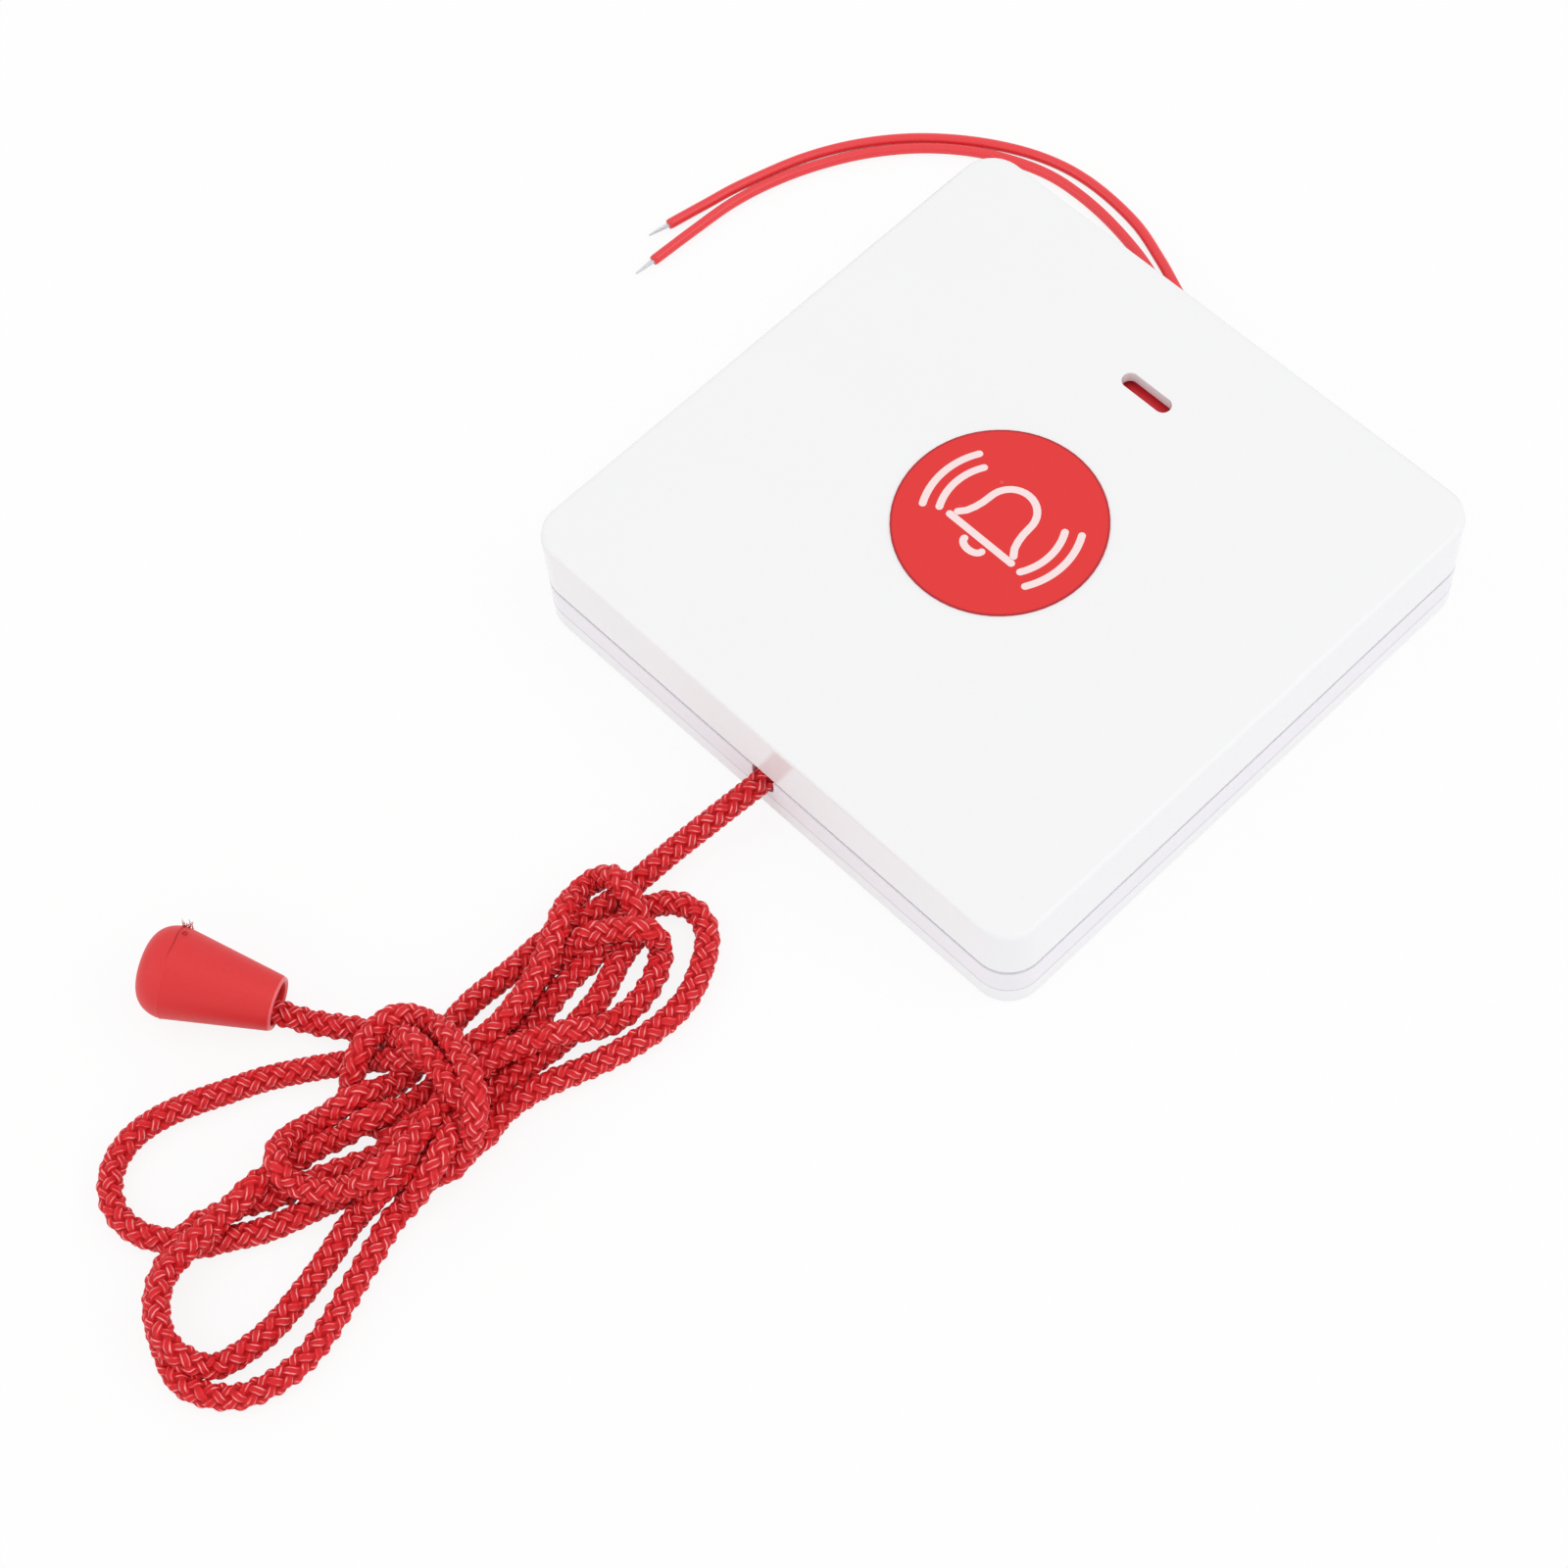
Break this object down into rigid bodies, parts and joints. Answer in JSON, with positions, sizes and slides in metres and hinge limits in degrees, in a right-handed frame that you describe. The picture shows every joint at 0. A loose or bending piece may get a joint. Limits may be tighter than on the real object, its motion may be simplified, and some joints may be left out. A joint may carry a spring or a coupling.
{
  "type": "wall emergency button",
  "caption": "Square wall plate with a press-anywhere front panel, red centre disc, indicator slot, braided red pull cord with bell knob and bare-ended supply leads",
  "frame": {"origin": "centre of the plate's flat back face, on the wall plane", "axes": "+Z out of the wall through the front panel, +Y up the wall towards the indicator slot, +X to the right as seen from the front; the pull cord leaves towards -Y"},
  "size_m": [0.1199, 0.204, 0.0181],
  "materials": {
    "white_shell": "moulded white ABS, satin face and glossy sides",
    "white_frame": "moulded white ABS",
    "red_disc": "printed vinyl disc, satin",
    "red_abs": "moulded red ABS",
    "red_knob": "soft matte red PVC",
    "red_cord": "braided polyester cord",
    "red_lead": "PVC insulation",
    "tinned_copper": "tinned stranded copper",
    "zinc_steel": "zinc-plated steel",
    "board_green": "solder mask",
    "black_plastic": "moulded switch body"
  },
  "bodies": {
    "housing": {"base_plate": "white_shell", "middle_frame": "white_frame", "frame_screw_1": "zinc_steel", "frame_screw_2": "zinc_steel", "frame_screw_3": "zinc_steel", "frame_screw_4": "zinc_steel", "circuit_board": "board_green", "board_screw_1": "zinc_steel", "board_screw_2": "zinc_steel", "board_screw_3": "zinc_steel", "board_screw_4": "zinc_steel", "press_switch": "black_plastic", "pull_switch": "black_plastic", "slide_keeper": "white_frame", "keeper_screw_1": "zinc_steel", "keeper_screw_2": "zinc_steel", "panel_spring_1": "zinc_steel", "panel_spring_2": "zinc_steel", "panel_spring_3": "zinc_steel", "panel_spring_4": "zinc_steel", "slide_spring": "zinc_steel", "pull_cord": "red_cord", "pull_cord_hank": "red_cord", "pull_cord_tail": "red_cord", "pull_knob": "red_knob", "lead_wire_1": "red_lead", "lead_wire_2": "red_lead", "wire_tip_1": "tinned_copper", "wire_tip_2": "tinned_copper"},
    "panel": {"front_panel": "white_shell", "face_disc": "red_disc"},
    "press_plunger": {"press_plunger": "red_abs"},
    "slide": {"pull_slide": "red_abs", "cord_knot": "red_cord"},
    "pull_plunger": {"pull_plunger": "white_frame"}
  },
  "joints": [
    {"name": "panel_press", "type": "slide", "parent": "housing", "child": "panel", "axis": [0, 0, -1], "range_m": [0, 0.0006], "stiffness_N_per_m": 500, "springref_m": -0.004, "deforming": ["panel_spring_1", "panel_spring_2", "panel_spring_3", "panel_spring_4"]},
    {"name": "press_plunger_travel", "type": "slide", "parent": "housing", "child": "press_plunger", "axis": [0, 0, -1], "range_m": [0, 0.0006], "stiffness_N_per_m": 8, "springref_m": -0.001},
    {"name": "cord_pull", "type": "slide", "parent": "housing", "child": "slide", "axis": [0, -1, 0], "range_m": [0, 0.0024], "stiffness_N_per_m": 300, "springref_m": -0.003, "deforming": ["slide_spring"]},
    {"name": "pull_plunger_travel", "type": "slide", "parent": "housing", "child": "pull_plunger", "axis": [0, -1, 0], "range_m": [0, 0.0024], "stiffness_N_per_m": 8, "springref_m": -0.001}
  ],
  "couplings": [
    {"joint": "press_plunger_travel", "follows": "panel_press", "ratio": 1},
    {"joint": "pull_plunger_travel", "follows": "cord_pull", "ratio": 1}
  ]
}
